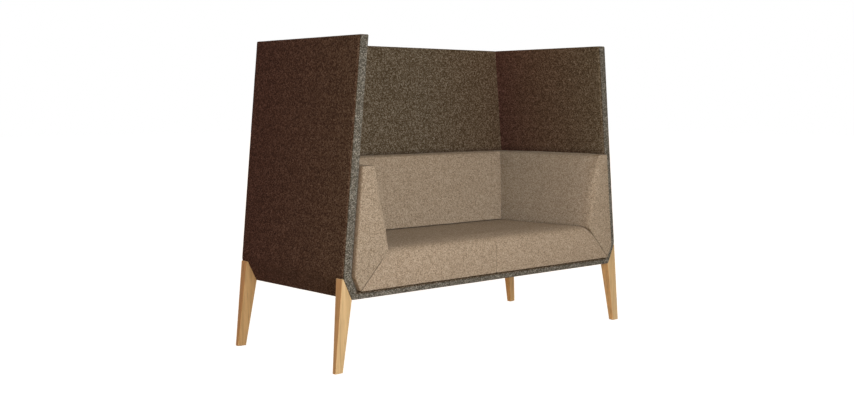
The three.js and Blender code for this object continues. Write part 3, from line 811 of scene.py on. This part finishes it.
def leg(end, side):
    """A tapered oak leg whose rear face is one plane."""
    outline = inset_outline(leg_outline(), [0, 0, 0, LEG_GAP, 0])
    depths = [FOOT_INNER_DEPTH, FOOT_OUTER_DEPTH, LEG_TOP_DEPTH]
    a, b, c = (np.array((p[0], LEG_INSET + depth, p[1])) for p, depth in zip(leg_outline(), depths))
    normal = np.cross(b - a, c - a)
    rear = [a[1] - (normal[0] * (x - a[0]) + normal[2] * (z - a[2])) / normal[1] for x, z in outline]
    points = [(x, LEG_INSET, z) for x, z in outline] + [(x, y, z) for (x, z), y in zip(outline, rear)]
    points = np.array(points)
    if end == "rear":
        points[:, 1] = DEPTH - points[:, 1]
    points[:, 1] += FRONT
    if side == "left":
        points[:, 0] *= -1
    size = len(outline)
    faces = [list(range(size)), list(range(size, 2 * size))]
    faces += [(i, (i + 1) % size, size + (i + 1) % size, size + i) for i in range(size)]
    obj = make_object(f"{end}_{side}_leg_oak", points, faces)
    bm = bmesh.new()
    bm.from_mesh(obj.data)
    bmesh.ops.bevel(bm, geom=bm.edges[:], offset=LEG_EDGE, segments=3, profile=0.6, affect="EDGES")
    bm.to_mesh(obj.data)
    bm.free()
    smooth(obj)
    weighted = obj.modifiers.new("Normals", "WEIGHTED_NORMAL")
    weighted.keep_sharp = False
    return obj


# Materials

WHITE = (1, 1, 1)
BLACK = (0, 0, 0)
DARK = (0.0927, 0.0528, 0.0387)
LINING = (0.1150, 0.0832, 0.0549)
EDGE = (0.145, 0.138, 0.119)
BEIGE = (0.350, 0.283, 0.213)
OAK = (0.640, 0.455, 0.235)
PLY = (0.58, 0.42, 0.25)
GAMMA = 2.2


class Nodes:
    """A material's node tree, with short ways to add to it."""

    def __init__(self, name):
        self.material = bpy.data.materials.new(name)
        self.material.use_nodes = True
        self.tree = self.material.node_tree
        self.shader = self.tree.nodes["Principled BSDF"]
        self.place = self.new("TexCoord").outputs["Object"]

    def new(self, kind, **inputs):
        """A new node, with its inputs set or linked."""
        node = self.tree.nodes.new("ShaderNode" + kind)
        for name, value in inputs.items():
            self.link(value, node.inputs[name])
        return node

    def link(self, output, socket):
        if isinstance(output, bpy.types.NodeSocket):
            self.tree.links.new(output, socket)
        else:
            socket.default_value = output

    def scaled(self, factors):
        """The place with each axis multiplied by its factor."""
        node = self.new("VectorMath")
        node.operation = "MULTIPLY"
        self.link(self.place, node.inputs[0])
        self.link(factors, node.inputs[1])
        return node.outputs["Vector"]

    def noise(self, size, detail=2.0, roughness=0.6, place=None, distortion=0.0):
        """Noise whose grains are about a size across."""
        node = self.new("TexNoise", Vector=place or self.place, Scale=1 / size, Detail=detail)
        self.link(roughness, node.inputs["Roughness"])
        self.link(distortion, node.inputs["Distortion"])
        return node.outputs["Fac"]

    def specks(self, size):
        """Cells about a size across, each with its own value from 0 to 1."""
        node = self.new("TexVoronoi", Vector=self.place, Scale=1 / size)
        return self.new("SeparateColor", Color=node.outputs["Color"]).outputs["Red"]

    def axis(self, number):
        """The place along one axis, in metres."""
        return self.new("SeparateXYZ", Vector=self.place).outputs[number]

    def facing(self, number, power=2.0):
        """One where the surface faces along an axis, and zero where it faces across it."""
        normal = self.new("NewGeometry").outputs["Normal"]
        part = self.new("SeparateXYZ", Vector=normal).outputs[number]
        return self.math("POWER", self.math("ABSOLUTE", part), power)

    def ramp(self, value, *stops):
        """A colour ramp. Each stop is a position and a colour."""
        node = self.new("ValToRGB", Fac=value)
        elements = node.color_ramp.elements
        while len(elements) < len(stops):
            elements.new(0.5)
        for element, (position, colour) in zip(elements, stops):
            element.position = position
            element.color = (*colour, 1)
        return node.outputs["Color"]

    def swing(self, value, amount):
        """Grey that swings about one by an amount."""
        return self.ramp(value, (0.35, (1 - amount,) * 3), (0.65, (1 + amount,) * 3))

    def graded(self, value, *stops):
        """A colour that changes with a value. Each stop is a value and a colour."""
        first, last = stops[0][0], stops[-1][0]
        share = self.math("DIVIDE", self.math("SUBTRACT", value, first), last - first)
        return self.ramp(share, *(((at - first) / (last - first), colour) for at, colour in stops))

    def math(self, operation, *values):
        node = self.new("Math")
        node.operation = operation
        for value, socket in zip(values, node.inputs):
            self.link(value, socket)
        return node.outputs["Value"]

    def mix(self, share, first, second, blend="MIX"):
        node = self.new("Mix")
        node.data_type = "RGBA"
        node.blend_type = blend
        self.link(share, node.inputs["Factor"])
        for value, socket in ((first, node.inputs[6]), (second, node.inputs[7])):
            self.link(value if isinstance(value, bpy.types.NodeSocket) else (*value, 1), socket)
        return node.outputs[2]

    def product(self, colour, *layers):
        """A colour with each layer multiplied into it."""
        for layer in layers:
            colour = self.mix(1.0, colour, layer, "MULTIPLY")
        return colour

    def bump(self, height, distance, strength, below=None):
        node = self.new("Bump", Height=height, Distance=distance, Strength=strength)
        if below is not None:
            self.link(below, node.inputs["Normal"])
        return node.outputs["Normal"]

    def finish(self, colour, roughness, normal=None, **constants):
        self.link(colour, self.shader.inputs["Base Color"])
        self.link(roughness, self.shader.inputs["Roughness"])
        if normal is not None:
            self.link(normal, self.shader.inputs["Normal"])
        for name, value in constants.items():
            self.shader.inputs[name.replace("_", " ")].default_value = value
        return self.material


def shade(colour, factor):
    return tuple(min(1.0, c * factor) for c in colour)


def fleck(colour, factor):
    """A colour made lighter or darker by grey fibres: each channel moves by the same step to the eye."""
    step = (colour[1] * factor) ** (1 / GAMMA) - colour[1] ** (1 / GAMMA)
    return tuple(min(1.0, max(0.0, c ** (1 / GAMMA) + step) ** GAMMA) for c in colour)


def melange(nodes, size, colour, speckle, *stops):
    """Specks of several tones. Each stop is a position and how far its tone is from the colour."""
    tones = ((at, fleck(colour, 1 + away * speckle)) for at, away in stops)
    return nodes.ramp(nodes.specks(size), *tones)


def felt_material(name, colour, warm, speckle, tint, grain=0.0042):
    """Pressed melange wool: flecks of several tones, a warm cast in patches and a fuzzy surface."""
    nodes = Nodes(name)
    tone = melange(nodes, grain, colour, speckle, (0.0, -1), (0.55, -0.25), (0.80, 0.5), (1.0, 1.6))
    fibres = nodes.swing(nodes.noise(0.0016, 3.0, 0.8), 0.24)
    cast = nodes.ramp(nodes.noise(0.016), (0.42, WHITE), (0.58, warm))
    wear = nodes.swing(nodes.noise(0.19, 2.0, 0.5), 0.015)
    coloured = nodes.product(tone, fibres, cast, wear, tint(nodes))
    fuzz = nodes.noise(0.0022, 4.0, 0.8)
    lumps = nodes.noise(0.009, 2.0, 0.5)
    normal = nodes.bump(lumps, 0.0005, 0.4, below=nodes.bump(fuzz, 0.0007, 0.7))
    rough = nodes.math("MULTIPLY_ADD", fuzz, 0.12, 0.86)
    return nodes.finish(
        coloured, rough, normal, Specular_IOR_Level=0.04, Sheen_Weight=0.05, Sheen_Roughness=0.6
    )


def weave_height(nodes, pitch):
    """The height of a plain weave, laid flat on whichever way the surface faces."""
    turned = nodes.scaled((2 * math.pi / pitch,) * 3)
    waves = [nodes.math("COSINE", output) for output in nodes.new("SeparateXYZ", Vector=turned).outputs]
    parts = []
    for axis in range(3):
        pattern = nodes.math("MULTIPLY", *(waves[i] for i in range(3) if i != axis))
        parts.append(nodes.math("MULTIPLY", pattern, nodes.facing(axis, 4.0)))
    return nodes.math("ADD", nodes.math("ADD", parts[0], parts[1]), parts[2])


def fabric_material(name, colour, speckle, tint=None):
    """Woven melange upholstery wool: threads of several tones in a plain weave."""
    nodes = Nodes(name)
    tone = melange(nodes, 0.0034, colour, speckle, (0.0, -1.1), (0.45, -0.1), (1.0, 1.1))
    threads = nodes.swing(nodes.noise(0.0018, 2.5, 0.7), 0.10)
    slubs = nodes.noise(0.014)
    cast = nodes.ramp(slubs, (0.42, (0.988, 0.989, 0.990)), (0.58, (1.012, 1.011, 1.008)))
    wear = nodes.swing(nodes.noise(0.25, 2.0, 0.5), 0.012)
    coloured = nodes.product(tone, threads, cast, wear)
    if tint:
        coloured = nodes.product(coloured, tint(nodes))
    hair = nodes.noise(0.0016, 3.0, 0.7)
    normal = nodes.bump(hair, 0.0004, 0.5)
    normal = nodes.bump(weave_height(nodes, 0.0034), 0.0005, 0.5, below=normal)
    normal = nodes.bump(slubs, 0.0004, 0.3, below=normal)
    rough = nodes.math("MULTIPLY_ADD", hair, 0.12, 0.84)
    return nodes.finish(
        coloured, rough, normal, Specular_IOR_Level=0.05, Sheen_Weight=0.05, Sheen_Roughness=0.5
    )


def wood_material(name, colour, along, streak, rough_at=0.42):
    """Lacquered wood with its grain along one axis, with painted light and shade: side faces paler to the
    right, and the rear legs darker at the left.
    """
    nodes = Nodes(name)
    place = nodes.scaled([0.045 if axis == along else 1.0 for axis in range(3)])
    grain = nodes.noise(0.006, 4.0, 0.6, place, 0.3)
    broad = nodes.noise(0.028, 2.0, 0.5, place, 0.6)
    pores = nodes.noise(0.0016, 3.0, 0.7, place)
    dark, light = shade(colour, 1 - streak), shade(colour, 1 + 0.45 * streak)
    tone = nodes.ramp(grain, (0.30, dark), (0.50, colour), (0.72, light))
    rings = nodes.ramp(broad, (0.35, (0.90, 0.86, 0.80)), (0.65, (1.04, 1.04, 1.05)))
    dots = nodes.ramp(pores, (0.30, (0.80, 0.74, 0.66)), (0.42, WHITE))
    coloured = nodes.mix(0.6, nodes.product(tone, rings), dots, "MULTIPLY")
    # Painted light on faces that face sideways, paler to the right; faces towards the front get a cooler
    # tone
    flanks = nodes.graded(nodes.axis(0), (-0.6, (1.0, 0.87, 0.79)), (0.6, (1.32, 1.16, 1.02)))
    faces = nodes.mix(nodes.facing(0), (0.97, 1.0, 1.06), flanks)
    # Painted shade on the rear legs, darker at the left
    behind = nodes.graded(nodes.axis(1), (-0.25, BLACK), (0.25, WHITE))
    rear_leg_shade = nodes.graded(nodes.axis(0), (-0.6, (0.96, 0.87, 0.76)), (0.6, (1.16, 1.05, 0.90)))
    coloured = nodes.product(coloured, faces, nodes.mix(behind, WHITE, rear_leg_shade))
    normal = nodes.bump(pores, 0.0002, 0.5, below=nodes.bump(grain, 0.0003, 0.35))
    rough = nodes.math("MULTIPLY_ADD", grain, 0.18, rough_at)
    return nodes.finish(coloured, rough, normal, Specular_IOR_Level=0.35)


def steel_material():
    nodes = Nodes("zinced_steel")
    spangle = nodes.noise(0.003, 3.0, 0.6)
    colour = nodes.ramp(spangle, (0.35, (0.50, 0.51, 0.53)), (0.65, (0.70, 0.71, 0.73)))
    rough = nodes.math("MULTIPLY_ADD", spangle, 0.25, 0.22)
    return nodes.finish(colour, rough, nodes.bump(spangle, 0.0002, 0.3), Metallic=1.0)


def plastic_material():
    nodes = Nodes("black_plastic")
    grain = nodes.noise(0.0009, 2.0, 0.5)
    colour = nodes.ramp(grain, (0.3, (0.018, 0.018, 0.018)), (0.7, (0.028, 0.028, 0.029)))
    rough = nodes.math("MULTIPLY_ADD", grain, 0.2, 0.4)
    return nodes.finish(colour, rough, nodes.bump(grain, 0.0001, 0.5))


def webbing_material():
    nodes = Nodes("webbing")
    weave = weave_height(nodes, 0.004)
    share = nodes.math("MULTIPLY_ADD", weave, 0.5, 0.5)
    colour = nodes.ramp(share, (0.2, (0.015, 0.015, 0.016)), (0.8, (0.05, 0.05, 0.052)))
    return nodes.finish(colour, 0.85, nodes.bump(weave, 0.0005, 0.7))


# Painted light and shade, and sewn lines, along each material, in metres in the frame

def side_painted_shade(nodes):
    """Painted light and shade on the outer felt: browner and lighter towards the front, where the light
    falls, and redder and darker towards the rear.
    """
    return nodes.graded(
        nodes.axis(1), (-0.34, (1.15, 1.28, 1.16)), (-0.02, (1.05, 1.02, 1.02)), (0.34, (0.92, 0.74, 0.82))
    )


def painted_shade_above_pads(nodes):
    """Painted shade: darker just above the pads, where they stand in front of the felt."""
    return nodes.graded(nodes.axis(2), (PAD_TOP + 0.003, (0.74, 0.72, 0.72)), (PAD_TOP + 0.020, WHITE))


def lining_painted_shade(nodes):
    """Painted shade: redder and darker towards the corner with the back, and lighter towards the front."""
    along = nodes.graded(
        nodes.axis(1),
        (-0.34, (1.16, 1.26, 1.26)),
        (-0.10, (1.08, 1.0, 0.98)),
        (0.05, (1.05, 0.88, 0.86)),
        (0.32, (0.99, 0.63, 0.70)),
    )
    return nodes.product(along, painted_shade_above_pads(nodes))


def back_lining_painted_shade(nodes):
    """Painted shade: redder and darker towards both corners."""
    off_middle = nodes.math("ABSOLUTE", nodes.axis(0))
    along = nodes.graded(off_middle, (0.20, (1.04, 1.15, 1.21)), (0.68, (1.0, 0.95, 0.90)))
    return nodes.product(along, painted_shade_above_pads(nodes))


def edge_tone_and_painted_shade(nodes):
    """Painted shadow in brown along the top of the base, under the seat's apron, and brown painted shade on
    the flanks, which turn away from the front; also darker near the rim.
    """
    height = nodes.axis(2)
    rim = nodes.graded(height, (0.85, WHITE), (1.25, (0.83, 0.83, 0.83)))
    # Painted shadow: a brown strip along the top of the base band, where the seat's apron overhangs it,
    # ending at the arms' toes
    top = nodes.graded(height, (0.2910, BLACK), (0.2985, WHITE), (0.3100, WHITE), (0.3110, BLACK))
    inside = nodes.graded(nodes.math("ABSOLUTE", nodes.axis(0)), (0.728, WHITE), (0.742, BLACK))
    shaded = nodes.mix(nodes.math("MULTIPLY", top, inside), rim, (0.60, 0.47, 0.36))
    # Painted shade: brown where the band's surface turns away from the front
    flank = nodes.graded(nodes.facing(1), (0.45, (0.56, 0.43, 0.34)), (0.86, WHITE))
    return nodes.product(shaded, flank)


def on_front(nodes, line, start, end):
    """Keeps a line to the front: it is whole up to start and gone from end on."""
    return nodes.mix(nodes.graded(nodes.axis(1), (start, WHITE), (end, BLACK)), WHITE, line)


def line_beside(nodes, distance, colour, half, end):
    """A line of one colour over a half width, which is gone at an end."""
    return nodes.graded(distance, (0.0, colour), (half, colour), (end, WHITE))


def arm_painted_light_and_shade(nodes):
    """Painted light: a little lighter and greyer inside than on the front. Painted shadow: a dark line
    along the seam at the front's top and along the left mitre.
    """
    # Painted light on the inner face, lighter and greyer than on the front
    inside = nodes.graded(nodes.axis(1), (-0.352, (0.95, 0.96, 0.96)), (-0.290, (1.11, 1.17, 1.24)))
    # Painted shadow along the seam at the front's top edge
    sewn = nodes.graded(
        nodes.axis(2),
        (PAD_TOP - 0.0045, WHITE),
        (PAD_TOP - 0.0020, (0.55, 0.54, 0.52)),
        (PAD_TOP + 0.0015, (0.55, 0.54, 0.52)),
        (PAD_TOP + 0.0040, WHITE),
    )
    return nodes.product(inside, on_front(nodes, sewn, -0.352, -0.346), mitre_shadow_line(nodes))


def mitre_shadow_line(nodes):
    """A painted shadow line where the seat's end meets the left arm, on their fronts."""
    slope = (ARM_CREASE[0] - ARM_TOE[0]) / (SEAT_TOP - PAD_BOTTOM)
    seam = nodes.math("MULTIPLY_ADD", nodes.axis(2), slope, ARM_TOE[0] - slope * PAD_BOTTOM)
    beside = nodes.math("ABSOLUTE", nodes.math("ADD", nodes.axis(0), seam))
    line = line_beside(nodes, beside, (0.66, 0.65, 0.63), 0.0016, 0.0036)
    return on_front(nodes, line, -0.350, -0.338)


def seat_seam_and_shadow(nodes):
    """A sewn line down the middle of the front, and the mitre's painted shadow line."""
    off_middle = nodes.math("ABSOLUTE", nodes.axis(0))
    line = line_beside(nodes, off_middle, (0.80, 0.80, 0.79), 0.0018, 0.0034)
    return nodes.product(on_front(nodes, line, -0.352, -0.338), mitre_shadow_line(nodes))


# The lining and back lining are one felt with different painted shade, and the arm and seat are the beige
# fabric with painted light and shade added
materials = {
    "dark": felt_material("dark_felt", DARK, (1.015, 0.995, 0.985), 0.80, side_painted_shade),
    "lining": felt_material("lining_felt", LINING, (1.01, 0.998, 0.99), 0.69, lining_painted_shade),
    "back_lining": felt_material("back_lining_felt", LINING, (1.01, 0.998, 0.99), 0.69, back_lining_painted_shade),
    "edge": felt_material("edge_felt", EDGE, (1.02, 1.0, 0.97), 0.70, edge_tone_and_painted_shade, 0.0038),
    "beige": fabric_material("beige_fabric", BEIGE, 0.38),
    "arm": fabric_material("arm_fabric", BEIGE, 0.36, arm_painted_light_and_shade),
    "seat": fabric_material("seat_fabric", BEIGE, 0.36, seat_seam_and_shadow),
    "oak": wood_material("oak", OAK, 2, 0.30),
    "plywood": wood_material("plywood", PLY, 0, 0.22, 0.6),
    "steel": steel_material(),
    "plastic": plastic_material(),
    "webbing": webbing_material(),
}


def cover_with(obj, material):
    obj.data.materials.clear()
    obj.data.materials.append(materials[material])


def line_with(obj, material, is_inside):
    """Gives a second material to the faces whose middle is_inside says yes to."""
    obj.data.materials.append(materials[material])
    for face in obj.data.polygons:
        if is_inside(face.center):
            face.material_index = 1


def add_piece(obj, slot, material, *nodes):
    cover_with(obj, material)
    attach(obj, "root")
    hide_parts(*nodes)


# The sofa

for side in ("left", "right"):
    felt = side_felt(side)
    add_piece(felt, "dark_felt", "dark", f"{side}_outer_skin", f"{side}_inner_skin")
    line_with(felt, "lining", lambda p: abs(p.x) < outer_at(p.z) - WALL_ACROSS / 2)
    pad = arm_pad(side)
    inside = [f"{side}_arm_{layer}" for layer in ("cover", "foam", "board")]
    add_piece(pad, "beige_fabric", "arm", *inside)
    for end in ("front", "rear"):
        add_piece(leg(end, side), "oak", "oak", f"{end}_{side}_leg")

felt = back_felt()
add_piece(felt, "dark_felt", "dark", "back_outer_skin", "back_inner_skin")
line_with(felt, "back_lining", lambda p: p.y < REAR - BACK_WALL / 2)
add_piece(base_felt(), "dark_felt", "dark", "base_outer_skin")
add_piece(edge_band(), "edge_felt", "edge", "left_edge_band", "right_edge_band", "base_edge_band")

seat = seat_pad()
add_piece(seat, "beige_fabric", "seat", "seat_cover", "seat_foam")
back = back_pad()
add_piece(back, "beige_fabric", "beige", "back_pad_cover", "back_pad_foam", "back_pad_board")

# Materials of the CAD nodes, by the last word of their names
CAD_MATERIALS = {
    "board": "plywood",
    "rail": "plywood",
    "plate": "steel",
    "bolt": "steel",
    "glide": "plastic",
    "webbing": "webbing",
    "leg": "oak",
    "cover": "beige",
    "foam": "beige",
    "skin": "dark",
    "band": "edge",
}
for name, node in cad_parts.items():
    cover_with(node, CAD_MATERIALS[name.split("_")[-1]])


# Floor, light and camera

def floor():
    """A warm floor that the camera and reflections see as white."""
    size = 30.0
    points = [(-size, -size, 0), (size, -size, 0), (size, size, 0), (-size, size, 0)]
    obj = make_object("floor", points, [(0, 1, 2, 3)])
    nodes = Nodes("floor_paint")
    path = nodes.new("LightPath")
    seen = nodes.math("MAXIMUM", path.outputs["Is Camera Ray"], path.outputs["Is Glossy Ray"])
    seen = nodes.math("MAXIMUM", seen, path.outputs["Is Transmission Ray"])
    grit = nodes.noise(0.4, 2.0, 0.5)
    colour = nodes.ramp(grit, (0.3, (0.50, 0.43, 0.36)), (0.7, (0.52, 0.45, 0.38)))
    nodes.finish(colour, 0.9, Specular_IOR_Level=0.0, Emission_Color=(1, 1, 1, 1))
    nodes.link(nodes.math("MULTIPLY", seen, 0.94), nodes.shader.inputs["Emission Strength"])
    obj.data.materials.append(nodes.material)


def world_light(colour, strength):
    """Soft light from all round, which the camera and reflections see as white."""
    world = bpy.data.worlds.new("studio")
    scene.world = world
    world.use_nodes = True
    nodes, links = world.node_tree.nodes, world.node_tree.links
    nodes.clear()
    path = nodes.new("ShaderNodeLightPath")
    seen = nodes.new("ShaderNodeMath")
    seen.operation = "MAXIMUM"
    mix = nodes.new("ShaderNodeMixShader")
    output = nodes.new("ShaderNodeOutputWorld")
    links.new(path.outputs["Is Camera Ray"], seen.inputs[0])
    links.new(path.outputs["Is Glossy Ray"], seen.inputs[1])
    links.new(seen.outputs[0], mix.inputs["Fac"])
    for number, (shown, power) in enumerate([(colour, strength), (WHITE, 1.0)], 1):
        background = nodes.new("ShaderNodeBackground")
        background.inputs["Color"].default_value = (*shown, 1)
        background.inputs["Strength"].default_value = power
        links.new(background.outputs[0], mix.inputs[number])
    links.new(mix.outputs[0], output.inputs["Surface"])


def lamp(name, place, target, size, power, colour):
    light = bpy.data.lights.new(name, "AREA")
    light.shape = "SQUARE"
    light.size = size
    light.energy = power
    light.color = colour
    obj = add_object(name, light)
    obj.location = place
    obj.rotation_euler = (Vector(target) - Vector(place)).to_track_quat("-Z", "Y").to_euler()
    obj.visible_camera = False
    obj.visible_glossy = False


floor()
world_light((1.0, 0.80, 0.555), 0.38)
lamp("key", (-1.1, -6.26, 1.95), (0, 0, 0.6), 2.4, 127, WHITE)
lamp("near", (-1.2, -2.8, 1.0), (0.6, 0, 0.7), 1.2, 34.5, WHITE)
lamp("side", (-6.2, -1.67, 1.5), (0, 0, 0.6), 2.4, 22, (1.0, 0.45, 0.2))

camera = bpy.data.cameras.new("camera")
camera.lens = CAMERA_LENS
camera.sensor_width = SENSOR_WIDTH
camera_object = add_object("camera", camera)
camera_object.location = CAMERA_PLACE
camera_object.rotation_euler = CAMERA_TURN
scene.camera = camera_object
scene.view_settings.view_transform = "Standard"
